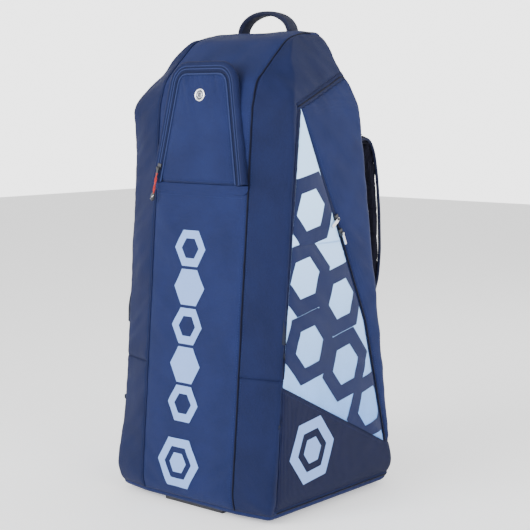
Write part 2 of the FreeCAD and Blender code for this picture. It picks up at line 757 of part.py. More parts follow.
def build_zips(nodes):
    """Sliders and pulls of the top pocket, the right side pocket and the right main zip."""
    top = top_slider_frame()
    nodes["top_slider"] = slider("top_slider", top)
    nodes["top_pull"] = pull("top_pull", top, "14")
    tab = cord_tab("top_pull_tab_body", top, "11", "{pull_tab} - 8")
    nodes["top_pull_tab"] = join("Cut", "top_pull_tab", tab, nodes["top_pull"])

    upper = side_slider_frame(5)
    lower = side_slider_frame(31)
    nodes["right_upper_slider"] = slider("right_upper_slider", upper, stud=True)
    nodes["right_upper_pull"] = swivel_pull("right_upper_pull", upper, "19", -78)
    nodes["right_lower_slider"] = slider("right_lower_slider", lower)
    nodes["right_lower_pull"] = pull("right_lower_pull", lower, "19")

    main = main_slider_frame()
    nodes["right_main_slider"] = slider("right_main_slider", main)
    nodes["right_main_pull"] = pull("right_main_pull", main, "12")
    tab = cord_tab("right_main_tab_body", main, "9", "22")
    nodes["right_main_tab"] = join("Cut", "right_main_tab", tab, nodes["right_main_pull"])


# ---------------------------------------------------------------- assembly


def check_document():
    """Stops on any failed object."""
    doc.recompute()
    for item in doc.Objects:
        if {"Invalid", "Error"} & set(item.State):
            raise RuntimeError(f"{item.Label} failed: {item.State}")


def export(nodes):
    """Writes one STEP file for each node, after checking its shape."""
    os.makedirs(OUT, exist_ok=True)
    for name, item in sorted(nodes.items()):
        shape = item.Shape
        if shape.isNull() or not shape.isValid() or not shape.Solids:
            raise RuntimeError(f"{name} has no valid solid")
        solids = Part.makeCompound(shape.Solids) if len(shape.Solids) > 1 else shape.Solids[0]
        solids.exportStep(os.path.join(OUT, name + ".step"))
        limits = shape.BoundBox
        low = [round(v, 1) for v in (limits.XMin, limits.YMin, limits.ZMin)]
        high = [round(v, 1) for v in (limits.XMax, limits.YMax, limits.ZMax)]
        print(f"{name:24s} solids {len(shape.Solids)} volume {shape.Volume / 1000:8.1f} cm3 {low} {high}")


def main():
    nodes, outer, spine, divider = build_shell()
    build_feet(nodes)
    build_door(nodes, outer)
    build_top_pocket(nodes, outer, spine, divider)
    build_handle(nodes)
    build_strap(nodes)
    build_zips(nodes)
    for name in [n for n in nodes if n.startswith("right_")]:
        left = name.replace("right_", "left_", 1)
        nodes[left] = mirrored(left, nodes[name])
    check_document()
    export(nodes)


main()
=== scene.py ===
"""The looks of the racket tournament bag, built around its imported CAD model.

The bag's skin is one smooth shell, cut along its seams into panels. Each panel is puffed up between its
seams, puckered along them and given its own thickness, and stands for the CAD node of the same name.
Lengths in this script are millimetres until a mesh is made.
"""

from collections import Counter
from math import atan2, ceil, cos, exp, hypot, pi, radians, sin, sqrt

import bmesh
import bpy
import numpy as np
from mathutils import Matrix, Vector, noise
from mathutils.bvhtree import BVHTree
from mathutils.kdtree import KDTree


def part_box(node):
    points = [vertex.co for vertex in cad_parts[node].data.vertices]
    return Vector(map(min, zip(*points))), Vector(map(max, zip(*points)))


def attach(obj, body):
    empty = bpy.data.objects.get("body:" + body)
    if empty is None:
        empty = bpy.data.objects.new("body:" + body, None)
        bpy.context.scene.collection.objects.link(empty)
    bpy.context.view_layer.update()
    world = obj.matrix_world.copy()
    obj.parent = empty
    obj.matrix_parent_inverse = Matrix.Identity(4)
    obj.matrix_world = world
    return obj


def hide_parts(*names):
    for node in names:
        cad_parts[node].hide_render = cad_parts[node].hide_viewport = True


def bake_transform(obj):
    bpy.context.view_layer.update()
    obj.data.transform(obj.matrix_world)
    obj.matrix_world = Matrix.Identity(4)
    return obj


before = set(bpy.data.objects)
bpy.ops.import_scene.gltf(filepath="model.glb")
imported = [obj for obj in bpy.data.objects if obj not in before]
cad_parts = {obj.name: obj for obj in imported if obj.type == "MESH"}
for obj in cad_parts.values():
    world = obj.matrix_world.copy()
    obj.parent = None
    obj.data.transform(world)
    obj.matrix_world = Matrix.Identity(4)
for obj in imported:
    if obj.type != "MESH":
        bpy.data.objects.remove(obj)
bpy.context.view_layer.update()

MM = 0.001
SIDES = (("right", 1), ("left", -1))

# The body's sections as the design has them: height, half width, front face, back face.
LEVELS = (
    (5, 162, -158, 178),
    (36, 170, -166, 184),
    (640, 170, -117, 78),
    (680, 153, -106, 75),
    (712, 128, -71, 71),
    (745, 108, -34, 67),
    (757, 96, 10, 62),
)
STEP = 5.0  # spacing of the skin's grid
SPINE = 99.0  # half width between the two pipings
BEVEL = 20.0
BACK_RUN = 45.0
BASE_TOP = 14.0
CORNER_SEAM = 225.0
BACK_SPLIT_Y, BACK_SPLIT_Z = 45.0, 702.0
ZIP_IN, ZIP_OUT = 128.0, 138.3  # the main zip's band on the back
DOOR_LOW = 22.0
BAND = 10.5
FRONT_LEAN = (LEVELS[2][2] - LEVELS[1][2]) / (LEVELS[2][0] - LEVELS[1][0])
BACK_LEAN = (LEVELS[2][3] - LEVELS[1][3]) / (LEVELS[2][0] - LEVELS[1][0])
HINGE_Y = LEVELS[1][2] + BEVEL + 4.25  # the door's front edge at the girth's height
TOP_EDGE = (-93.6, 632.9, 0.36)  # the door's top edge: y, z and slope
FLAP_TOP, FLAP_LOW = (-84.0, 637.0), (-126.0, 214.0)
ZIP_LINE = ((0.0, 470.0), (83.0, 293.0), (143.0, 80.0))
ZIP_HALF = 4.0
GAPE_TOP = 428.2
STITCH_PITCH, STITCH, THREAD = 4.2, 2.9, 0.34  # stitches: spacing, length and the thread's radius

# The top pocket: half widths, rise and corner radius of its outline, and its place on the leaning front.
POCKET_LOW, POCKET_HIGH, POCKET_RISE, POCKET_ROUND = 97.0, 62.0, 188.0, 26.0
POCKET_FROM = Vector((0, -126.897, 518))
POCKET_UP = Vector((0, 0.08086, 0.996726))
POCKET_OUT = Vector((0, -0.996726, 0.08086))
FLAP_INSET = 15.8

# The straps: the middle of the right one on the back, and its centre lines as (height, distance out).
STRAP_FROM = Vector((85, 130.65, 340))
STRAP_UP = Vector((0, -0.17285, 0.98495))
STRAP_OUT = Vector((0, 0.98495, 0.17285))
STRAP_PAD = [(236, 42), (241, 64), (233, 79), (210, 87), (172, 89), (110, 86), (40, 77), (-4, 64), (-27, 49), (-34, 37)]
STRAP_LIFT = [(292, 26), (287, 32), (262, 60), (241, 82)]
STRAP_TAB = [(248, 25), (246, 30), (239, 37)]
STRAP_LOW = [(-30, 40), (-60, 31), (-232, 24)]


# ---- small helpers


def ease(values, sigma, closed):
    """Gaussian smoothing of rows of numbers."""
    reach = int(3 * sigma) + 1
    kernel = np.exp(-0.5 * (np.arange(-reach, reach + 1) / sigma) ** 2)
    kernel /= kernel.sum()
    mode = "wrap" if closed else "edge"
    padded = np.pad(values, ((reach, reach), (0, 0)), mode=mode)
    return np.stack([np.convolve(padded[:, c], kernel, "valid") for c in range(values.shape[1])], axis=1)


def make_mesh(name, points, faces, material, recalculate=False):
    """A mesh object from points in millimetres, with the named material."""
    mesh = bpy.data.meshes.new(name)
    mesh.from_pydata([tuple(float(c) * MM for c in p) for p in points], [], [tuple(f) for f in faces])
    mesh.validate()
    if recalculate:
        turned = bmesh.new()
        turned.from_mesh(mesh)
        bmesh.ops.recalc_face_normals(turned, faces=turned.faces)
        turned.to_mesh(mesh)
        turned.free()
    mesh.shade_smooth()
    mesh.materials.append(MATERIALS[material])
    piece = bpy.data.objects.new(name, mesh)
    bpy.context.scene.collection.objects.link(piece)
    return piece


def add_piece(piece, body, slot, *nodes):
    """Puts a finished piece on the empty of the body it rides on and hides the CAD nodes it stands for; its slot is not
    used.
    """
    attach(piece, body)
    if nodes:
        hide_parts(*nodes)
    return piece


def thicken(piece, thickness):
    """Gives a sheet its thickness, growing inwards."""
    solid = piece.modifiers.new("thickness", "SOLIDIFY")
    solid.thickness = thickness * MM
    solid.offset = -1
    solid.use_even_offset = False
    solid.material_offset = len(piece.data.materials) - 1


def wave(point, size, seed=0.0):
    """Smooth noise from -1 to 1 at a point, with features of the given size."""
    return noise.noise(Vector((point[0] / size + seed, point[1] / size - seed, point[2] / size + 0.5 * seed)))


def frames_along(path):
    """Points, tangents and two normals carried along a path without twist."""
    points = [Vector(p) for p in path]
    tangents = [(b - a).normalized() for a, b in zip(points[:1] + points, points[1:] + points[-1:])]
    side = tangents[0].orthogonal().normalized()
    result = []
    for point, tangent in zip(points, tangents):
        side = (side - tangent * side.dot(tangent)).normalized()
        result.append((point, tangent, side, tangent.cross(side)))
    return result


def grid_faces(rows, columns, closed=False):
    """The quads between rows of points."""
    faces = []
    for r in range(rows - 1):
        for k in range(columns if closed else columns - 1):
            a, b = r * columns + k, r * columns + (k + 1) % columns
            faces.append((a, b, b + columns, a + columns))
    return faces


def tube(name, points, count, material, bottom=True):
    """A closed piece from rings of count points each."""
    faces = grid_faces(len(points) // count, count, closed=True)
    if bottom:
        faces.append(tuple(range(count))[::-1])
    faces.append(tuple(range(len(points) - count, len(points))))
    return make_mesh(name, points, faces, material, recalculate=True)


def sweep(name, path, radius, material, segments=8, flat=1.0):
    """A round cord along a path, closed at both ends. radius is one number or one for each point."""
    points = []
    rows = frames_along(path)
    radii = [radius] * len(rows) if isinstance(radius, (int, float)) else radius
    for (point, _, side, up), size in zip(rows, radii):
        for k in range(segments):
            turn = 2 * pi * k / segments
            points.append(point + side * (cos(turn) * size) + up * (sin(turn) * size * flat))
    return tube(name, points, segments, material)


def strip_profile(width, thick, crown=0.0, count=12):
    """A flat strip's closed cross-section, a little thicker in its middle, as (across, out) pairs."""
    upper = []
    for k in range(count + 1):
        across = -cos(pi * k / count)
        edge = min(1.0, 2.2 * sqrt(max(0.0, 1 - abs(across))) + 0.25)
        upper.append((0.5 * width * across, (0.5 * thick + crown * (1 - across * across)) * edge))
    return upper + [(a, -b) for a, b in reversed(upper)]


def band(name, path, wide, profile, material):
    """A closed band along a path whose width keeps one direction."""
    wide = Vector(wide)
    points = []
    for point, tangent, _, _ in frames_along(path):
        out = tangent.cross(wide).normalized()
        points.extend(point + wide * a + out * b for a, b in profile)
    return tube(name, points, len(profile), material)


def smooth_path(line, spacing, sigma):
    """A polyline turned into an even, rounded curve."""
    return ease(resample(line, spacing), sigma, closed=False)


def resample(path, spacing):
    """Evenly spaced points along a polyline."""
    points = np.array([tuple(p) for p in path], float)
    lengths = np.r_[0, np.cumsum(np.linalg.norm(np.diff(points, axis=0), axis=1))]
    count = max(2, int(round(lengths[-1] / spacing)) + 1)
    where = np.linspace(0, lengths[-1], count)
    return np.stack([np.interp(where, lengths, points[:, c]) for c in range(points.shape[1])], axis=1)


# ---- materials


def principled():
    """A new material with its tree and its shader."""
    material = bpy.data.materials.new("material")
    material.use_nodes = True
    return material, material.node_tree, material.node_tree.nodes["Principled BSDF"]


def feed(tree, owner, values):
    """Sets a node's inputs, each to a number or colour or to another node's output."""
    for key, value in values.items():
        if isinstance(value, bpy.types.NodeSocket):
            tree.links.new(value, owner.inputs[key])
        else:
            owner.inputs[key].default_value = value


def node(tree, kind, values, output, **settings):
    """Adds a node and gives one of its outputs."""
    made = tree.nodes.new(kind)
    for key, value in settings.items():
        setattr(made, key, value)
    feed(tree, made, values)
    return made.outputs[output]


def coordinates(tree, size):
    """Object coordinates, one unit of them being the given number of millimetres."""
    source = node(tree, "ShaderNodeTexCoord", {}, "Object")
    return node(tree, "ShaderNodeMapping", {"Vector": source, "Scale": [1 / (size * MM)] * 3}, "Vector")


def cloud(tree, size, detail):
    """Noise with features of about the given size."""
    look = {"Vector": coordinates(tree, size), "Scale": 1.0, "Detail": detail}
    return node(tree, "ShaderNodeTexNoise", look, "Fac")


def stripes(tree, pitch, axis, **look):
    """A sine wave across one axis."""
    values = {"Vector": coordinates(tree, 1), "Scale": 0.31 / pitch, **look}
    return node(tree, "ShaderNodeTexWave", values, "Fac", wave_type="BANDS", bands_direction=axis)


def combine(tree, operation, *values):
    return node(tree, "ShaderNodeMath", dict(enumerate(values)), 0, operation=operation)


def tones(tree, factor, color, low, high, spots=(0.0, 1.0)):
    """A colour that goes from darker to paler with a factor."""
    ramp = tree.nodes.new("ShaderNodeValToRGB")
    tree.links.new(factor, ramp.inputs["Fac"])
    for element, scale, spot in zip(ramp.color_ramp.elements, (low, high), spots):
        element.position = spot
        element.color = (*[min(1, c * scale) for c in color], 1)
    return ramp.outputs["Color"]


def bumped(tree, height, strength, distance):
    look = {"Height": height, "Strength": strength, "Distance": distance}
    return node(tree, "ShaderNodeBump", look, "Normal")


def cloth(color, pitch=0.9, rough=0.66, sheen=0.02, mottle=0.10, bump=0.35, ribs=0.0, painted_top_light=None):
    """Woven fabric: colour mottling, threads both ways on any face, optional ribs with painted shade darkening their
    grooves, and an optional painted highlight that makes the upper part paler.
    """
    material, tree, shader = principled()
    broad = combine(tree, "MULTIPLY", cloud(tree, 55, 4.0), 0.55)
    mixed = combine(tree, "MULTIPLY_ADD", cloud(tree, 1.6, 2.0), 0.45, broad)
    paint = tones(tree, mixed, color, 1 - mottle, 1 + mottle, (0.32, 0.68))
    # painted highlight: the colour fades to a paler tone with height, standing in for the light that falls on the upper
    # part
    if painted_top_light:
        low, high, top = painted_top_light
        z = node(tree, "ShaderNodeSeparateXYZ", {"Vector": node(tree, "ShaderNodeTexCoord", {}, "Object")}, "Z")
        part = node(tree, "ShaderNodeMapRange", {"Value": z, "From Min": low * MM, "From Max": high * MM}, "Result")
        paint = node(tree, "ShaderNodeMix", {"Factor": part, "A": paint, "B": (*top, 1)}, "Result", data_type="RGBA")
    x, y, z = (stripes(tree, pitch, axis, **{"Distortion": 0.6, "Detail Scale": 2.0}) for axis in "XYZ")
    height = combine(tree, "ADD", combine(tree, "ADD", x, y), z)
    if ribs:
        ridges = stripes(tree, ribs, "Y")
        height = combine(tree, "MULTIPLY_ADD", ridges, 3.0, height)
        # painted shade: the colour is darkened between the ribs, where shade falls in the grooves
        painted_groove_shade = {"Factor": combine(tree, "SUBTRACT", 1.0, ridges), "A": paint, "B": (0.55, 0.55, 0.62, 1)}
        paint = node(tree, "ShaderNodeMix", painted_groove_shade, "Result", data_type="RGBA", blend_type="MULTIPLY")
    feed(tree, shader, {
        "Base Color": paint,
        "Normal": bumped(tree, height, bump, 0.0012 if ribs else 0.0004),
        "Roughness": rough,
        "Sheen Weight": sheen,
        "Sheen Roughness": 0.45,
        "Specular IOR Level": 0.09,
    })
    return material


def solid(color, rough, metallic=0.0, grain=0.15):
    """Moulded or metal: a fine grain and small scuffs in its roughness."""
    material, tree, shader = principled()
    scuffs = cloud(tree, 1.2, 5.0)
    span = {"Value": scuffs, "To Min": max(0.02, rough - 0.10), "To Max": min(1.0, rough + 0.16)}
    feed(tree, shader, {
        "Base Color": tones(tree, scuffs, color, 0.88, 1.10),
        "Normal": bumped(tree, scuffs, grain, 0.0003),
        "Roughness": node(tree, "ShaderNodeMapRange", span, "Result"),
        "Metallic": metallic,
    })
    return material


NAVY = (0.0082, 0.0142, 0.0600)
MATERIALS = {
    "navy": cloth(NAVY, mottle=0.20),
    # a darker copy of the navy, painted shade for the bevelled corner and shoulder bands, the main zip's band, the left
    # piping and the pocket gusset
    "navy_painted_shade": cloth((0.0058, 0.0098, 0.0410), mottle=0.20),
    "ribbed": cloth((0.0088, 0.0130, 0.0540), ribs=3.0, bump=0.7),
    # pale: painted paler from 110 mm up to 500 mm, a painted highlight for the light from above
    "pale": cloth(
        (0.135, 0.290, 0.660), pitch=0.6, rough=0.40, mottle=0.20, bump=0.12,
        painted_top_light=(110, 500, (0.44, 0.68, 1.0)),
    ),
    "dark": cloth((0.0025, 0.0035, 0.0120), pitch=0.7, rough=0.6),
    "tape": cloth((0.0055, 0.0095, 0.0400), pitch=0.6, rough=0.6, bump=0.6),
    "lining": cloth((0.014, 0.017, 0.030), pitch=0.5, rough=0.75),
    "webbing": cloth((0.0105, 0.0125, 0.0310), pitch=1.6, rough=0.6, bump=0.9),
    "binding": cloth((0.0085, 0.0110, 0.0330), pitch=1.2, rough=0.6, bump=0.7),
    "mesh": cloth((0.0090, 0.0088, 0.0170), pitch=2.4, rough=0.85, bump=1.0),
    # ridge: a paler copy of the navy, a painted highlight for the raised cords round the top pocket, where light
    # catches them
    "ridge": cloth((0.0190, 0.0290, 0.0900), pitch=0.6, rough=0.55, bump=0.4),
    "thread": cloth((0.016, 0.028, 0.100), pitch=0.4, rough=0.5),
    "thread_pale": cloth((0.28, 0.42, 0.68), pitch=0.4, rough=0.5),
    "print_pale": cloth((0.190, 0.305, 0.610), pitch=0.8, rough=0.45, mottle=0.04, bump=0.2),
    "print_navy": cloth((0.0080, 0.0132, 0.0520), pitch=0.8, rough=0.45, bump=0.2),
    "plastic": solid((0.012, 0.013, 0.018), 0.45),
    "rubber": solid((0.012, 0.012, 0.018), 0.7, grain=0.4),
    "metal": solid((0.74, 0.75, 0.78), 0.22, metallic=1.0, grain=0.05),
    "metal_dark": solid((0.09, 0.095, 0.11), 0.35, metallic=1.0, grain=0.05),
    "red": cloth((0.34, 0.020, 0.018), pitch=0.8, rough=0.5, sheen=0.15, bump=0.7),
}
for name, material in MATERIALS.items():
    material.name = name


# ---- the skin


def section_rows():
    """Rows of height, half width, front and back, from the base's middle round to the top's middle."""

    def shrunk(level, middle, scales):
        height, half, front, back = level
        return [(height, half * s, middle + (front - middle) * s, middle + (back - middle) * s) for s in scales]

    rows = shrunk(LEVELS[0], 9.0, np.linspace(0.04, 1, 26)[:-1])
    for low, high in zip(LEVELS, LEVELS[1:]):
        count = ceil(max(abs(a - b) for a, b in zip(low, high)) / STEP)
        rows += [tuple(a + (b - a) * k / count for a, b in zip(low, high)) for k in range(count)]
    top = LEVELS[-1]
    rows += shrunk(top, 0.5 * (top[2] + top[3]), np.linspace(1, 0.04, 18))
    return ease(np.array(rows), 1.5, closed=False)


def front_draw(height):
    """How much the cloth is drawn in where the front slopes back to the top: 0 to 1."""
    return exp(-(((height - 688) / 25) ** 2))


def front_bevel(height):
    """How deep the front corners are bevelled: the cloth bulges out at the shoulder and at the bottom."""
    shoulder = exp(-(((height - 630) / 45) ** 2))
    bottom = exp(-(((height - 30) / 75) ** 2))
    return BEVEL - 9 * shoulder + 24 * front_draw(height) - 10 * bottom


def section_loop(row):
    """One closed loop of the skin, front left round to the left side."""
    height, half, front, back = row
    spine = min(SPINE, 0.96 * half)
    run = min(BACK_RUN, 0.3 * half)
    drop = front_bevel(height) * (half - spine) / (LEVELS[1][1] - SPINE)
    rear = BEVEL * run / BACK_RUN
    right = [(spine, front), (half - 7 * front_draw(height), front + drop), (half, back - rear), (half - run, back)]
    corners = right + [(-x, y) for x, y in reversed(right)]
    corners = corners[-1:] + corners[:-1]
    counts = (36, 15, 62, 10, 50, 10, 62, 15)
    points = []
    for (x0, y0), (x1, y1), count in zip(corners, corners[1:] + corners[:1], counts):
        for k in range(count):
            points.append((x0 + (x1 - x0) * k / count, y0 + (y1 - y0) * k / count))
    loop = ease(np.array(points), 1.1, closed=True)
    return np.column_stack([loop, np.full(len(loop), height)])


def skin_mesh():
    """The whole skin as a bmesh in millimetres."""
    loops = [section_loop(row) for row in section_rows()]
    count = len(loops[0])
    mesh = bmesh.new()
    verts = [mesh.verts.new(p) for loop in loops for p in loop]
    for face in grid_faces(len(loops), count, closed=True):
        mesh.faces.new([verts[i] for i in face])
    mesh.faces.new(verts[:count][::-1])
    mesh.faces.new(verts[-count:])
    mesh.normal_update()
    return mesh


def hinge_y(z):
    return HINGE_Y + (z - LEVELS[1][0]) * FRONT_LEAN


def top_edge(y, rise=0.0):
    return TOP_EDGE[1] + rise + (y - TOP_EDGE[0]) * TOP_EDGE[2]


def side_plane(low, high):
    """A plane that holds the X direction and two points of a side's drawing, as (point, normal)."""
    (y0, z0), (y1, z1) = low, high
    return Vector((0, y0, z0)), Vector((0, z1 - z0, y0 - y1)).normalized()


def level_plane(z):
    return Vector((0, 0, z)), Vector((0, 0, 1))


def cut_skin(mesh):
    """Cuts the skin along its seams, each only where it runs."""
    side = lambda c: abs(c.x) > 155
    band_side = lambda c: abs(c.x) > 120
    cuts = [
        (*level_plane(BASE_TOP), lambda c: c.z < 40),
        (*level_plane(BACK_SPLIT_Z), lambda c: c.y > 30 and c.z > 680),
        (Vector((0, BACK_SPLIT_Y, 0)), Vector((0, 1, 0)), lambda c: c.z > 660),
        (*level_plane(DOOR_LOW), lambda c: c.z < 40),
        (*level_plane(CORNER_SEAM), lambda c: 200 < c.z < 250 and c.y < hinge_y(c.z) + 8),
        (Vector((0, HINGE_Y, LEVELS[1][0])), Vector((0, 1, -FRONT_LEAN)), lambda c: abs(c.x) > 100),
        (*side_plane(TOP_EDGE[:2], (100, top_edge(100))), band_side),
        (*side_plane((TOP_EDGE[0], TOP_EDGE[1] + BAND), (100, top_edge(100, BAND))), band_side),
        (*level_plane(GAPE_TOP), side),
        (*side_plane(FLAP_TOP, FLAP_LOW), side),
        (*side_plane(FLAP_LOW, NEAR_ZIP[2]), side),
        (*side_plane(FAR_ZIP[2], (260, 20)), lambda c: abs(c.x) > 120 and c.y > 60 and c.z < 120),
    ]
    for line in (NEAR_ZIP, FAR_ZIP):
        cuts.append((*side_plane(FLAP_TOP, line[0]), lambda c: side(c) and c.z > 440))
        cuts.append((*side_plane(line[0], line[1]), lambda c: side(c) and 270 < c.z < 500))
        cuts.append((*side_plane(line[1], line[2]), lambda c: side(c) and 60 < c.z < 320))
    for x in (SPINE, -SPINE, ZIP_IN, -ZIP_IN, ZIP_OUT, -ZIP_OUT):
        cuts.append((Vector((x, 0, 0)), Vector((1, 0, 0)), lambda c, x=x: abs(c.x - x) < 30))
    for point, normal, keep in cuts:
        faces = [f for f in mesh.faces if keep(f.calc_center_median())]
        edges = {e for f in faces for e in f.edges}
        verts = {v for f in faces for v in f.verts}
        bmesh.ops.bisect_plane(mesh, geom=[*faces, *edges, *verts], dist=0.02, plane_co=point, plane_no=normal)


def inside(c, outline):
    """True inside a simple outline drawn in y and z."""
    hit = False
    for (y0, z0), (y1, z1) in zip(outline, outline[1:] + outline[:1]):
        if (z0 > c.z) != (z1 > c.z) and c.y < y0 + (y1 - y0) * (c.z - z0) / (z1 - z0):
            hit = not hit
    return hit


NEAR_ZIP = [(y - ZIP_HALF, z) for y, z in ZIP_LINE]
FAR_ZIP = [(y + ZIP_HALF, z) for y, z in ZIP_LINE]
POCKET_OUTLINE = [FLAP_TOP, FLAP_LOW] + NEAR_ZIP[::-1]
ZIP_OUTLINE = [FLAP_TOP] + NEAR_ZIP + FAR_ZIP[::-1]
LOW_OUTLINE = [(-300, -10), (300, -10), (260, 20), FAR_ZIP[2], NEAR_ZIP[2], FLAP_LOW, FLAP_TOP, (-300, 637)]


def panel_of(c):
    """The name of the panel that a point of the skin belongs to."""
    across = abs(c.x)
    side = "right_" if c.x > 0 else "left_"
    if c.z < BASE_TOP:
        return "base_panel"
    if c.y > BACK_SPLIT_Y and across < ZIP_IN and c.z < BACK_SPLIT_Z:
        return "back_panel"
    if across < SPINE:
        return "spine_panel"
    behind = c.y > hinge_y(c.z)
    if across > ZIP_OUT and behind and DOOR_LOW < c.z < top_edge(c.y):
        if across > 155 and inside(c, POCKET_OUTLINE):
            return side + ("pocket_flap" if c.z < GAPE_TOP else "pocket_top")
        if across > 155 and inside(c, ZIP_OUTLINE):
            return side + "side_zip"
        if inside(c, LOW_OUTLINE):
            return side + "lower_panel"
        return side + "rear_panel"
    if across > ZIP_IN and behind and c.z < top_edge(c.y, BAND):
        return side + "main_zip"
    if c.z < CORNER_SEAM:
        return side + "corner_panel"
    return side + "shoulder_panel"


class Panel:
    """The faces of one panel, with its points and their normals."""

    def __init__(self):
        self.index, self.points, self.normals, self.faces = {}, [], [], []

    def add(self, face):
        for vert in face.verts:
            if vert.index not in self.index:
                self.index[vert.index] = len(self.points)
                self.points.append(np.array(vert.co))
                self.normals.append(np.array(vert.normal))
        self.faces.append([self.index[vert.index] for vert in face.verts])

    def edge_samples(self):
        """Points along the panel's open edges."""
        pairs = Counter(tuple(sorted(pair)) for face in self.faces for pair in zip(face, face[1:] + face[:1]))
        ends = [(self.points[a], self.points[b]) for (a, b), times in pairs.items() if times == 1]
        return [a * (1 - part) + b * part for a, b in ends for part in (0, 0.25, 0.5, 0.75)]


def puff(panel, crown, pucker, folds, slope, seed):
    """Moves a panel's points: full in the middle, drawn in at the seams, with soft slanting drag folds."""
    samples = panel.edge_samples()
    tree = KDTree(len(samples))
    for number, sample in enumerate(samples):
        tree.insert(Vector(sample), number)
    tree.balance()
    moved = []
    for point, normal in zip(panel.points, panel.normals):
        near, _, distance = tree.find(Vector(point))
        fullness = 1 - exp(-distance / 22)
        rise = crown * fullness - 1.3 * exp(-distance / 3.0)
        gather = wave(near, 11, seed) + 0.6 * wave(near, 5, seed + 7)
        rise += pucker * gather * exp(-distance / 15) * (1 - exp(-distance / 3.5))
        run = abs(point[0]) + point[1]
        across, along = 0.82 * point[2] - 0.57 * slope * run, 0.57 * slope * point[2] + 0.82 * run
        drag = noise.noise(Vector((across / 17, along / 75, seed + 3)))
        rise += folds * fullness * (drag * (0.35 + 1.5 * exp(-distance / 32)) + 1.2 * wave(point, 95, seed + 11))
        moved.append(point + normal * rise)
    return moved


# name: body, slot, material, crown, pucker, folds and their slope
PANEL_LOOKS = {
    "spine_panel": ("bag", "navy", "navy", 3.0, 0.9, 2.4, 1.0),
    "back_panel": ("bag", "navy", "navy", 3.0, 0.7, 0.7, 1.0),
    "base_panel": ("bag", "navy", "navy", 0.3, 0.2, 0.1, 1.0),
    # the corner, shoulder and main zip panels take the darker navy copy: painted shade on the bevelled bands
    "corner_panel": ("bag", "navy", "navy_painted_shade", 2.6, 1.0, 2.6, -1.0),
    "shoulder_panel": ("bag", "navy", "navy_painted_shade", 2.8, 1.0, 2.8, -1.0),
    "main_zip": ("bag", "zip_tape", "navy_painted_shade", 0.4, 0.1, 0.0, 1.0),
    "lower_panel": ("door", "ribbed_navy", "ribbed", 2.6, 0.4, 0.5, 1.0),
    "rear_panel": ("door", "navy", "navy", 2.6, 0.9, 2.0, -1.0),
    "side_zip": ("door", "zip_tape", "tape", 0.2, 0.0, 0.0, 1.0),
    "pocket_top": ("door", "pale_blue", "pale", 2.2, 0.5, 0.6, 1.0),
    "pocket_flap": ("pocket_flap", "pale_blue", "pale", 2.6, 1.0, 2.1, -1.0),
}


class Skin:
    """A finished panel: its points, its faces, its surface for what lies on it, and its body."""

    def __init__(self, points, faces, body):
        self.points = [Vector(p) for p in points]
        self.faces = faces
        self.surface = BVHTree.FromPolygons(self.points, faces)
        self.body = body


def build_panels():
    """All panels of the skin as pieces. Returns them by name."""
    mesh = skin_mesh()
    cut_skin(mesh)
    mesh.normal_update()
    mesh.verts.index_update()
    panels = {}
    for face in mesh.faces:
        panels.setdefault(panel_of(face.calc_center_median()), Panel()).add(face)
    mesh.free()
    skins = {}
    for number, name in enumerate(sorted(panels)):
        panel = panels[name]
        side, _, kind = name.partition("_")
        kind = kind if side in ("right", "left") else name
        body, slot, material, *look = PANEL_LOOKS[kind]
        thick = 5.0 if body == "bag" else 2.5
        body = body if body == "bag" else f"{side}_{body}"
        points = puff(panel, *look, seed=3.7 * number)
        skins[name] = Skin(points, panel.faces, body)
        piece = make_mesh("skin_" + name, points, panel.faces, material)
        piece.data.materials.append(MATERIALS["lining"])
        thicken(piece, thick)
        add_piece(piece, body, slot, name)
    return skins


# ---- lines on the skin: piping, stitches, coils


def at_height(z, column):
    """A column of LEVELS at a height."""
    return float(np.interp(z, [level[0] for level in LEVELS], [level[column] for level in LEVELS]))


def ridge(x, low, y_end):
    """The front's profile at x, from a height up and over the top to y_end."""
    drop = BEVEL * max(0.0, abs(x) - SPINE) / (LEVELS[1][1] - SPINE)
    heights = [low] + [level[0] for level in LEVELS if level[0] > low]
    line = [(x, at_height(z, 2) + drop, z) for z in heights]
    return resample(line + [(x, y_end, heights[-1])], 4)


def snap(path, skins, lift):
    """A path laid on the nearest of some panels and lifted off them. Gives points and normals."""
    places, normals = [], []
    for point in path:
        hits = [skin.surface.find_nearest(Vector(point)) for skin in skins]
        place, normal, _, _ = min(hits, key=lambda hit: hit[3])
        places.append(place + normal * lift)
        normals.append(normal)
    return ease(np.array(places), 0.8, closed=False), np.array(normals)


def side_path(sign, line, spacing=3.0):
    """A line drawn in y and z on a side of the bag."""
    return resample([(sign * at_height(z, 1), y, z) for y, z in line], spacing)


def grain(points, faces, start, end, normal, radius):
    """One stitch: a small raised grain of thread."""
    along = end - start
    side = along.cross(normal).normalized()
    first = len(points)
    points.append(start - normal * radius * 0.8)
    for part in (0.2, 0.8):
        centre = start + along * part
        points.extend(centre + direction * radius for direction in (side, normal, -side, -normal))
    points.append(end - normal * radius * 0.8)
    for k in range(4):
        a, b = first + 1 + k, first + 1 + (k + 1) % 4
        faces.append((first, b, a))
        faces.append((a, b, b + 4, a + 4))
        faces.append((a + 4, b + 4, first + 9))


def stitches(name, body, slot, laid_lines, material="thread"):
    """Rows of stitches along laid lines, as one piece."""
    points, faces = [], []
    for places, normals in laid_lines:
        lengths = np.r_[0, np.cumsum(np.linalg.norm(np.diff(places, axis=0), axis=1))]

        def at(where, rows=places, lengths=lengths):
            return Vector([float(np.interp(where, lengths, rows[:, c])) for c in range(3)])

        for k in range(int(lengths[-1] / STITCH_PITCH)):
            begin = (k + 0.5) * STITCH_PITCH - 0.5 * STITCH
            normal = at(begin, normals).normalized()
            grain(points, faces, at(begin), at(begin + STITCH), normal, THREAD)
    return add_piece(make_mesh(name, points, faces, material), body, slot)


def coil(name, body, places, radius):
    """A closed zip's coil: a cord with a tooth every couple of millimetres."""
    path = resample(places, 0.8)
    radii = [radius * (1.0 if k % 3 else 0.78) for k in range(len(path))]
    return add_piece(sweep(name, path, radii, "dark", segments=6), body, "zip_tape")


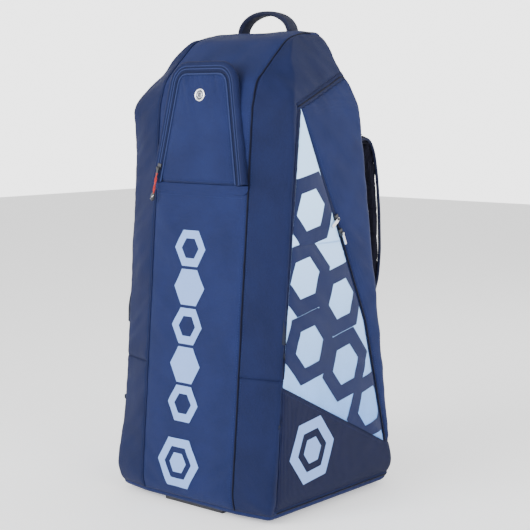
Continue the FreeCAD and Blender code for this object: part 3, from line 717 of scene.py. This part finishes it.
def build_piping(skins):
    """The piping between the front and the sides, and the stitches beside it."""
    for side, sign in SIDES:
        neighbours = [skins["spine_panel"], skins[side + "_corner_panel"], skins[side + "_shoulder_panel"]]
        places, _ = snap(ridge(sign * (SPINE + 0.3), 14, 28), neighbours, 0.5)
        # The two pipings are one part coloured by painted light: the right one near-black as painted shade, the left
        # one in the darker navy copy, which is still paler than the right, as if lit.
        piece = sweep(f"{side}_piping_cord", places, 1.35, "dark" if sign > 0 else "navy_painted_shade")
        add_piece(piece, "bag", "dark_piping", f"{side}_piping")
        inner = snap(ridge(sign * (SPINE - 4.5), 18, 28), neighbours[:1], 0.1)
        outer = snap(ridge(sign * (SPINE + 4.8), 18, 20), neighbours[1:], 0.1)
        stitches(f"{side}_piping_stitches", "bag", "navy", [inner, outer])


def build_main_zips(skins):
    """The coil of each side door's long zip."""
    middle = 0.5 * (ZIP_IN + ZIP_OUT)
    drop = BEVEL * (middle - LEVELS[1][1] + BACK_RUN) / BACK_RUN
    for side, sign in SIDES:
        top = [(y, top_edge(y, 0.5 * BAND)) for y in (TOP_EDGE[0] - 2, -40, 10, 48)]
        rear = [(sign * middle, at_height(z, 3) - drop, z) for z in np.linspace(660, 24, 90)]
        base = [(y, DOOR_LOW - 4) for y in (150, 60, -60, -140)]
        path = np.vstack([side_path(sign, top), np.array(rear), side_path(sign, base)])
        places, _ = snap(smooth_path(path, 3, 3.0), [skins[side + "_main_zip"]], 0.3)
        coil(f"{side}_main_coil", "bag", places, 1.15)


def build_side_pockets(skins):
    """Each side pocket's zip coil and the seams round the pocket."""
    ahead, behind = ([(y + shift, z) for y, z in ZIP_LINE] for shift in (-8.5, 8.5))
    end_y, end_z = ahead[2]
    rear_seam = [(FLAP_TOP[0] + 8, FLAP_TOP[1] - 4), *behind]
    flap_seam = [(ahead[0][0] + 19.7, GAPE_TOP - 3), ahead[1], (end_y - 1, end_z + 6)]
    front_seam = [(FLAP_LOW[0] + 5.5, FLAP_LOW[1] + 4), (end_y - 3, end_z + 7)]
    hem = [(FLAP_LOW[0] - 4, FLAP_LOW[1] - 6), (ZIP_LINE[2][0] - 8, ZIP_LINE[2][1] - 5)]
    for side, sign in SIDES:
        names = ("pocket_flap", "rear_panel", "side_zip", "lower_panel")
        flap, rear, zip_skin, low = (skins[f"{side}_{name}"] for name in names)
        places, _ = snap(side_path(sign, ZIP_LINE), [zip_skin], 0.3)
        coil(f"{side}_side_coil", f"{side}_door", places, 1.35)
        rows = [snap(side_path(sign, rear_seam), [rear, low], 0.1)]
        stitches(f"{side}_rear_stitches", f"{side}_door", "navy", rows)
        rows = [snap(side_path(sign, seam), [flap], 0.1) for seam in (flap_seam, front_seam)]
        stitches(f"{side}_flap_stitches", f"{side}_pocket_flap", "pale_blue", rows, material="thread_pale")
        stitches(f"{side}_hem_stitches", f"{side}_door", "ribbed_navy", [snap(side_path(sign, hem), [low], 0.1)])


# ---- prints


def hexagon(centre, radius, turn):
    corners = [turn + pi * k / 3 for k in range(6)]
    return [(centre[0] + radius * cos(t), centre[1] + radius * sin(t)) for t in corners]


def within(outline, a, b):
    """True inside a convex outline that runs anticlockwise."""
    pairs = zip(outline, outline[1:] + outline[:1])
    return all((a1 - a0) * (b - b0) - (b1 - b0) * (a - a0) > 0 for (a0, b0), (a1, b1) in pairs)


def printed(name, skin, slot, material, axes, shapes):
    """Hexagons printed on a panel: the panel's own faces, cut to shape and lifted by a film's thickness.

    axes picks the two coordinates of the drawing. A shape is a centre, an outer and inner radius and a turn.
    """
    first, second = axes
    points, faces = [], []
    for number, (centre, outer, inner, turn) in enumerate(shapes):
        mesh = bmesh.new()
        corners = {}
        for face in skin.faces:
            middle = sum((skin.points[i] for i in face), Vector()) / len(face)
            if hypot(middle[first] - centre[0], middle[second] - centre[1]) < outer + 8:
                for i in face:
                    if i not in corners:
                        corners[i] = mesh.verts.new(skin.points[i])
                mesh.faces.new([corners[i] for i in face])
        outlines = [hexagon(centre, radius, turn) for radius in (outer, inner) if radius]
        for outline in outlines:
            for (a0, b0), (a1, b1) in zip(outline, outline[1:] + outline[:1]):
                place, normal = Vector(), Vector()
                place[first], place[second] = a0, b0
                normal[first], normal[second] = b1 - b0, a0 - a1
                geometry = [*mesh.verts, *mesh.edges, *mesh.faces]
                bmesh.ops.bisect_plane(mesh, geom=geometry, dist=0.005, plane_co=place, plane_no=normal)
        mesh.normal_update()
        shape = Panel()
        mesh.verts.index_update()
        for face in mesh.faces:
            middle = face.calc_center_median()
            if [within(outline, middle[first], middle[second]) for outline in outlines] in ([True], [True, False]):
                shape.add(face)
        start = len(points)
        points += [p + n * (0.3 + 0.09 * number) for p, n in zip(shape.points, shape.normals)]
        faces += [[start + i for i in face] for face in shape.faces]
        mesh.free()
    return add_piece(make_mesh(name, points, faces, material), skin.body, slot)


def build_prints(skins):
    """Honeycomb prints: a column on the front, large cells on the pale sides and one on each lower side."""
    column = [((-12, 416 - 62 * k), 33, 0 if k % 2 else 18, 0.0) for k in range(5)]
    column += [((-17, 72), 45, 29, 0.0), ((-17, 72), 18, 0, 0.0)]
    printed("front_print", skins["spine_panel"], "pale_blue", "print_pale", (0, 2), column)
    spots = ((-62, 482), (-76, 378), (15, 336), (-66, 270), (27, 228), (95, 148))
    cells = [(spot, 62, 34, 0.20) for spot in spots]
    low = [((-58, 104), 56, 36, 0.12), ((-58, 104), 22, 0, 0.12)]
    for side, _ in SIDES:
        for name in ("pocket_top", "pocket_flap"):
            printed(f"{side}_{name}_print", skins[f"{side}_{name}"], "navy", "print_navy", (1, 2), cells)
        printed(f"{side}_lower_print", skins[f"{side}_lower_panel"], "pale_blue", "print_pale", (1, 2), low)


# ---- top pocket


def pocket_point(x, up, out):
    return POCKET_FROM + Vector((x, 0, 0)) + POCKET_UP * up + POCKET_OUT * out


def pocket_half(up, inset=0.0, radius=POCKET_ROUND):
    """The outline's half width at a height, with its rounded upper corners."""
    lean = (POCKET_LOW - POCKET_HIGH) / POCKET_RISE
    half = POCKET_LOW - lean * up - inset * hypot(1, lean)
    top = POCKET_RISE - inset
    into = max(0.0, up - (top - radius))
    return half - radius + sqrt(max(0.0, radius * radius - into * into))


def pocket_stations():
    """Points round the pocket's outline, from lower left over the top to lower right, with inward directions."""
    heights = [POCKET_RISE * sin(0.5 * pi * k / 90) for k in range(90)]
    right = [(pocket_half(up), up) for up in heights] + [(POCKET_HIGH - POCKET_ROUND, POCKET_RISE)]
    line = [(-x, up, 0) for x, up in right] + [(x, up, 0) for x, up in right[::-1]]
    line = smooth_path(line, 3, 1.5)
    along = np.gradient(line[:, :2], axis=0)
    along /= np.linalg.norm(along, axis=1)[:, None]
    return [(x, up, ty, -tx) for (x, up, _), (tx, ty) in zip(line, along)]


def pocket_ribbon(name, stations, profile, material, thickness, ripple=0.0):
    """A strip that follows the outline. profile is (inset, out) pairs from outside in."""
    points = []
    for number, (x, up, nx, nu) in enumerate(stations):
        for inset, out in profile:
            swell = ripple * noise.noise(Vector((number / 3.1, inset / 6, 4.2)))
            points.append(pocket_point(x + nx * (inset - swell), up + nu * (inset - swell), out + swell))
    faces = [face[::-1] for face in grid_faces(len(stations), len(profile))]
    piece = make_mesh(name, points, faces, material)
    thicken(piece, thickness)
    return piece


def pocket_line(stations, inset, out):
    return [pocket_point(x + nx * inset, up + nu * inset, out) for x, up, nx, nu in stations]


def build_flap():
    """The pocket's lid: crowned, with gathers under its upper edge and a low lip at its hinge."""
    rows, columns = 56, 48
    top = POCKET_RISE - FLAP_INSET
    points = []
    for r in range(rows + 1):
        up = 0.7 + (top - 0.7) * sin(0.5 * pi * r / rows) ** 0.9
        below = top - up
        half = max(1.0, pocket_half(up, FLAP_INSET, 10.5))
        for c in range(columns + 1):
            x = half * sin(0.5 * pi * (2 * c / columns - 1))
            edge = min(half - abs(x), below)
            out = 6.9 + 5.0 * (1 - exp(-edge / 12)) - 4.3 * exp(-up / 4)
            pleat = noise.noise(Vector(((x - 0.35 * below) / 9, below / 90, 2.0)))
            pleat += 0.5 * noise.noise(Vector((x / 4, below / 40, 9)))
            out += 3.0 * pleat * exp(-below / 30) * (1 - exp(-below / 4))
            out += 0.9 * noise.noise(Vector((x / 45 + 0.3 * up / 45, up / 60, 7.7))) * (1 - exp(-edge / 10))
            points.append(pocket_point(x, up, out))
    faces = grid_faces(rows + 1, columns + 1)
    piece = make_mesh("pocket_lid", points, faces, "navy")
    piece.data.materials.append(MATERIALS["lining"])
    thicken(piece, 2.4)
    add_piece(piece, "top_pocket_lid", "navy", "top_pocket_flap")
    return Skin(points, faces, "top_pocket_lid")


def build_sill():
    """The seam allowance under the lid, where the pocket dies into the front."""
    profile = [(0.9, 4.6), (0.0, 5.9), (-1.8, 6.0), (-4.6, 5.0), (-7.6, 3.8), (-10.6, 3.0), (-13.4, 2.5), (-14.6, 1.2)]
    points = []
    columns = 60
    for c in range(columns + 1):
        x = 100.5 * sin(0.5 * pi * (2 * c / columns - 1))
        close = sqrt(max(0.0, 1 - (max(0.0, abs(x) - 88) / 12.5) ** 2))
        for up, out in profile:
            points.append(pocket_point(x, up * (0.35 + 0.65 * close), 0.6 + (out - 0.6) * close))
    sill = make_mesh("pocket_sill", points, grid_faces(columns + 1, len(profile)), "navy")
    add_piece(sill, "bag", "navy", "top_pocket_gusset")


def lathe(name, place, axis, profile, material):
    """A turned piece: (radius, height) pairs about an axis."""
    side = axis.orthogonal().normalized()
    across = axis.cross(side)
    points = []
    for radius, height in profile:
        for turn in np.arange(40) * pi / 20:
            points.append(place + axis * height + side * (radius * cos(turn)) + across * (radius * sin(turn)))
    return tube(name, points, 40, material, bottom=False)


def build_badge(lid):
    """A plain silver button: a rounded rim round a darker dish with a six-sided ring."""
    place, normal, _, _ = lid.surface.find_nearest(pocket_point(0, 139, 12))
    rim = [(10.0, -0.6), (10.3, 0.6), (10.0, 1.5), (9.2, 2.1), (8.2, 2.1), (7.5, 1.6), (7.2, 0.9), (7.0, 0.8)]
    add_piece(lathe("button_rim", place, normal, rim, "metal"), "top_pocket_lid", "hardware", "badge")
    dish = [(7.3, 0.2), (7.2, 0.9), (5.0, 0.8), (2.2, 1.0), (1.2, 1.3), (0.4, 1.4)]
    add_piece(lathe("button_dish", place, normal, dish, "metal_dark"), "top_pocket_lid", "hardware")
    side = normal.orthogonal().normalized()
    across = normal.cross(side)
    sixth = pi / 3
    ring = []
    for k in range(25):
        turn = sixth * k / 4
        reach = 4.4 / max(0.9, cos((turn + 0.5 * sixth) % sixth - 0.5 * sixth) / 0.93)
        ring.append(place + normal * 1.0 + side * (reach * cos(turn)) + across * (reach * sin(turn)))
    add_piece(sweep("button_ring", ring, 0.45, "metal", segments=6), "top_pocket_lid", "hardware")


def build_top_pocket(skins):
    """Gusset, zip and lid of the top pocket, with the ridges that run round it."""
    stations = pocket_stations()
    gusset = [(-1.2, -1.5), (-2.8, 0.8), (-3.4, 3.2), (-3.2, 5.4), (-2.2, 7.4), (-0.6, 8.7)]
    gusset += [(1.2, 8.9), (2.6, 8.1), (3.2, 6.8)]
    # the gusset takes the darker navy copy: painted shade
    piece = pocket_ribbon("pocket_gusset", stations, gusset, "navy_painted_shade", 1.0, ripple=0.35)
    add_piece(piece, "bag", "navy", "top_pocket_gusset")
    tape = [(3.0, 6.6), (4.6, 7.3), (7.0, 7.5), (9.4, 7.5), (11.6, 7.4), (13.6, 7.0), (14.2, 5.8)]
    add_piece(pocket_ribbon("pocket_tape", stations, tape, "tape", 0.9), "bag", "zip_tape", "top_pocket_zip")
    # the cords round the pocket take the paler ridge copy of the navy: painted highlight
    ridges = (
        ("pocket_outer_cord", 3.4, 8.2, 1.1, "bag"),
        ("pocket_tape_fold", 8.0, 8.0, 1.1, "bag"),
        ("pocket_lid_cord", 15.9, 8.0, 1.4, "top_pocket_lid"),
    )
    for name, inset, out, radius, body in ridges:
        path = ease(np.array(pocket_line(stations, inset, out)), 1.0, closed=False)
        add_piece(sweep(name, path if body == "bag" else path[1:-1], radius, "ridge"), body, "navy")
    coil("pocket_coil", "bag", pocket_line(stations[2:-2], 12.2, 7.3), 1.0)
    lid = build_flap()
    build_sill()
    build_badge(lid)
    bottom = [pocket_point(x, 4.5, 9) for x in np.linspace(-74, 74, 40)]
    rows = [snap(line, [lid], 0.1) for line in (pocket_line(stations[2:-2], 20, 12), bottom)]
    stitches("lid_stitches", "top_pocket_lid", "navy", rows)
    hem = [pocket_point(x, -19, 2) for x in np.linspace(-92, 92, 44)]
    stitches("sill_stitches", "bag", "navy", [snap(hem, [skins["spine_panel"]], 0.1)])


# ---- handle, pulls and straps


def build_handle():
    """The padded webbing loop with its stitches, standing in an arch over the top."""
    turns = [pi * k / 48 for k in range(49)]
    path = [(-52.5 * cos(turn), 37, 757.6 + 33.4 * sin(turn)) for turn in turns]
    loop = band("handle_loop", path, (0, 1, 0), strip_profile(27, 5.4, 1.4), "webbing")
    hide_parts("top_handle")
    points, faces = [], []
    rows = frames_along(resample(path, 4.0))
    for (a, tangent, _, _), (b, _, _, _) in zip(rows[1:-2], rows[2:-1]):
        out = tangent.cross(Vector((0, 1, 0))).normalized()
        for across in (-10.5, 10.5):
            for lift in (1, -1):
                shift = Vector((0, across, 0)) + out * (lift * 3.3)
                grain(points, faces, a + shift, a + shift + (b - a) * 0.7, out * lift, 0.35)
    for piece in (loop, make_mesh("handle_stitches", points, faces, "thread")):
        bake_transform(piece)


def cord_pull(name, body, node_name, place, start, length):
    """A zip pull's red cord, doubled, with a moulded black end. place(across, along, out) is the slider's frame."""
    for strand, sign in (("left", -1), ("right", 1)):
        path = []
        for k in range(15):
            part = k / 14
            twist = 2.4 * pi * part
            across = sign * 1.15 * cos(twist) * (1 - 0.25 * part)
            path.append(place(across, -(start - 1 + (length + 2) * part), 5.2 + 0.7 * sign * sin(twist)))
        add_piece(sweep(f"{name}_strand_{strand}", path, 1.15, "red"), body, "cord_red", node_name)
    low = start + length
    path = [place(0, -(low - 2 + 15 * k / 9), 5.2) for k in range(10)]
    radii = [1.7, 2.4, 2.9, 3.2, 3.4, 3.5, 3.5, 3.3, 2.7, 1.3]
    add_piece(sweep(f"{name}_end", path, radii, "plastic", segments=12, flat=0.62), body, "hardware")
    bar = [place(-3.2, -(low + 10.5), 6.4), place(0, -(low + 7), 7.3), place(2.9, -(low + 3), 6.6)]
    add_piece(sweep(f"{name}_bar", smooth_path(bar, 1, 1.0), 0.7, "metal"), body, "hardware")


def build_pulls():
    """The red cord pulls of the top pocket and of the two main zips."""
    turn = atan2(POCKET_LOW - POCKET_HIGH, POCKET_RISE)
    c, s = cos(turn), sin(turn)
    x0 = -(88.5 - (POCKET_LOW - POCKET_HIGH) * 24 / POCKET_RISE)

    def top(across, along, out):
        return pocket_point(x0 + c * across + s * along, 24 - s * across + c * along, 7 + out)

    cord_pull("top_cord", "top_pull", "top_pull_tab", top, 11, 32)
    up, out = Vector((0, -0.1729, 0.985)), Vector((0.4012, 0.9026, 0.1584))
    wide = up.cross(out)
    for side, sign in SIDES:

        def main(across, along, lift, sign=sign):
            spot = Vector((133, 84.97, 580)) + wide * across + up * along + out * lift
            return Vector((sign * spot.x, spot.y, spot.z))

        cord_pull(f"{side}_main_cord", f"{side}_main_pull", f"{side}_main_tab", main, 9, 22)


def strap_line(sign, line, spacing=5.0, sigma=1.5, across=0.0, lift=0.0):
    """A strap's centre line, shifted across and lifted, as points of the bag."""
    points = []
    for up, out, _ in smooth_path([(up, out, 0) for up, out in line], spacing, sigma):
        spot = STRAP_FROM + STRAP_UP * up + STRAP_OUT * (out + lift)
        points.append(Vector((sign * (spot.x + across), spot.y, spot.z)))
    return points


def inflate(piece, cap):
    """Puffs a closed mesh with a cloth simulation, no point moving further than cap millimetres."""
    scene = bpy.context.scene
    remesh = piece.modifiers.new("remesh", "REMESH")
    remesh.mode, remesh.voxel_size = "VOXEL", 0.0045
    graph = bpy.context.evaluated_depsgraph_get()
    piece.data = bpy.data.meshes.new_from_object(piece.evaluated_get(graph))
    piece.modifiers.clear()
    start = np.array([v.co for v in piece.data.vertices])
    settings = piece.modifiers.new("cloth", "CLOTH").settings
    settings.effector_weights.gravity = 0
    settings.use_pressure, settings.uniform_pressure_force, settings.quality = True, 4, 4
    for number in range(1, 21):
        scene.frame_set(number)
    graph = bpy.context.evaluated_depsgraph_get()
    shift = np.array([v.co for v in piece.evaluated_get(graph).data.vertices]) - start
    piece.modifiers.clear()
    scene.frame_set(1)
    length = np.linalg.norm(shift, axis=1)[:, None]
    start += shift * np.minimum(1, cap * MM / np.maximum(length, 1e-9))
    piece.data.vertices.foreach_set("co", start.ravel())
    piece.data.update()


def build_pad():
    """The right strap's padding in millimetres: inflated, then quilted with grooves across it."""
    path = strap_line(1, STRAP_PAD, sigma=1.8)
    source = band("pad_source", path, (1, 0, 0), strip_profile(57, 7.5, 0.8, count=16), "mesh")
    inflate(source, 3.0)
    mesh = bmesh.new()
    mesh.from_mesh(source.data)
    bmesh.ops.subdivide_edges(mesh, edges=mesh.edges[:], cuts=1, use_grid_fill=True, smooth=0.6)
    bmesh.ops.smooth_vert(mesh, verts=mesh.verts[:], factor=0.5, use_axis_x=True, use_axis_y=True, use_axis_z=True)
    mesh.normal_update()
    mesh.verts.index_update()
    spacing, slope, depth, width = 42, 0.75, 1.9, 2.6
    points = []
    for vert in mesh.verts:
        point = vert.co / MM
        across = abs(point.x) - STRAP_FROM.x
        where = ((point - STRAP_FROM).dot(STRAP_UP) + slope * across) / spacing
        gap = abs(where - round(where)) * spacing
        rim = max(0.0, 1 - (abs(across) / 30) ** 6)
        points.append(point - vert.normal * (depth * exp(-((gap / width) ** 2)) * rim))
    faces = [tuple(v.index for v in face.verts) for face in mesh.faces]
    mesh.free()
    bpy.data.objects.remove(source)
    return points, faces


def build_straps():
    """Both shoulder straps: quilted padding with bound edges, webbing and stitches."""
    pad_points, pad_faces = build_pad()
    for side, sign in SIDES:
        body = f"{side}_strap"
        points = [Vector((sign * p.x, p.y, p.z)) for p in pad_points]
        faces = [face if sign > 0 else face[::-1] for face in pad_faces]
        pad = add_piece(make_mesh(f"{side}_pad", points, faces, "mesh"), body, "mesh_pad", f"{side}_strap_pad")
        surface = Skin(points, faces, body)
        rows = []
        for name, edge in (("inner", -1), ("outer", 1)):
            path = strap_line(sign, STRAP_PAD, spacing=4, sigma=2.2, across=edge * 29.5)[2:-3]
            add_piece(sweep(f"{side}_binding_{name}", path, 2.7, "binding"), body, "webbing")
            path = strap_line(sign, STRAP_PAD, spacing=4, sigma=2.2, across=edge * 25.5, lift=8)
            rows.append(snap(path[2:-2], [surface], 0.1))
        stitches(f"{side}_pad_stitches", body, "webbing", rows)
        for name, line in (("lift", STRAP_LIFT), ("tab", STRAP_TAB), ("low", STRAP_LOW)):
            path = strap_line(sign, line, spacing=3, sigma=0.7)
            web = band(f"{side}_web_{name}", path, (1, 0, 0), strip_profile(25, 1.9), "webbing")
            add_piece(web, body, "webbing", f"{side}_strap_webbing")


# ---- camera, lights and floor


def build_studio():
    """Camera at the photograph's angle, soft lights and a pale floor."""
    scene = bpy.context.scene

    def aimed(name, data, place, target):
        thing = bpy.data.objects.new(name, data)
        thing.location = place
        thing.rotation_euler = (Vector(target) - thing.location).to_track_quat("-Z", "Y").to_euler()
        scene.collection.objects.link(thing)
        return thing

    lens = bpy.data.cameras.new("camera")
    lens.lens, lens.sensor_width, lens.clip_end = 88.15, 36, 50
    distance, height, across, aim = 2.1439, 0.6393, 0.0193, 0.3775
    s, c = sin(radians(41)), cos(radians(41))
    scene.camera = aimed("camera", lens, (s * distance, -c * distance, height), (c * across, s * across, aim))
    lights = (
        ("key", (-0.5, -2.7, 1.5), 1.6, 95),
        ("side", (2.6, -0.6, 1.1), 1.5, 46),
        ("top", (0.2, -0.2, 2.6), 1.8, 8),
        ("rim", (0.8, 2.2, 1.6), 1.5, 20),
    )
    for name, place, width, power in lights:
        lamp = bpy.data.lights.new(name, "AREA")
        lamp.shape, lamp.size, lamp.energy = "SQUARE", width, power
        aimed(name, lamp, place, (0, 0, 0.4))

    world = bpy.data.worlds.new("world")
    world.use_nodes = True
    tree = world.node_tree
    rise = node(tree, "ShaderNodeSeparateXYZ", {"Vector": node(tree, "ShaderNodeTexCoord", {}, "Generated")}, "Z")
    span = {"Value": rise, "From Min": 0.1, "From Max": 0.45, "To Min": 3.4, "To Max": 0.85}
    strength = node(tree, "ShaderNodeMapRange", span, "Result")
    feed(tree, tree.nodes["Background"], {"Color": (1, 1, 1, 1), "Strength": strength})
    scene.world = world

    MATERIALS["floor"], tree, shader = principled()
    white = (1, 1, 1, 1)
    look = {"Base Color": (0.96, 0.96, 0.96, 1), "Roughness": 0.7, "Emission Color": white, "Emission Strength": 0.4}
    feed(tree, shader, look)
    half = 6000
    corners = [(-half, -half, 0), (half, -half, 0), (half, half, 0), (-half, half, 0)]
    make_mesh("floor", corners, [(0, 1, 2, 3)], "floor")


# ---- CAD nodes that keep their shape

KEPT = {
    "rubber": ("base_skid",),
    "lining": ("center_divider", "top_pocket_lining"),
    "webbing": ("top_handle_tabs", "strap_patches"),
    "plastic": ("strap_anchors", "top_slider", "top_pull"),
}
KEPT_SIDES = {
    "lining": ("door_rim", "door_wall"),
    "plastic": ("strap_hardware", "upper_slider", "lower_slider"),
    "metal": ("upper_pull", "lower_pull"),
    "metal_dark": ("main_slider", "main_pull"),
}


def dress_nodes():
    """Gives the CAD nodes that stay visible their materials and softened edges."""
    dress = [(name, material) for material, names in KEPT.items() for name in names]
    for side, _ in SIDES:
        dress += [(f"{side}_{name}", material) for material, names in KEPT_SIDES.items() for name in names]
    for name, material in dress:
        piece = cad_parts[name]
        piece.data.materials.clear()
        piece.data.materials.append(MATERIALS[material])
        bevel = piece.modifiers.new("soft_edges", "BEVEL")
        low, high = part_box(name)
        bevel.width = min(0.0012, 0.12 * min(h - l for l, h in zip(low, high)))
        bevel.segments, bevel.limit_method = 2, "ANGLE"
    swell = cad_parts["strap_patches"].modifiers.new("proud_of_the_skin", "DISPLACE")
    swell.strength, swell.mid_level = 0.0035, 0.0


build_studio()
skins = build_panels()
build_piping(skins)
build_main_zips(skins)
build_side_pockets(skins)
build_prints(skins)
build_top_pocket(skins)
build_handle()
build_pulls()
build_straps()
dress_nodes()
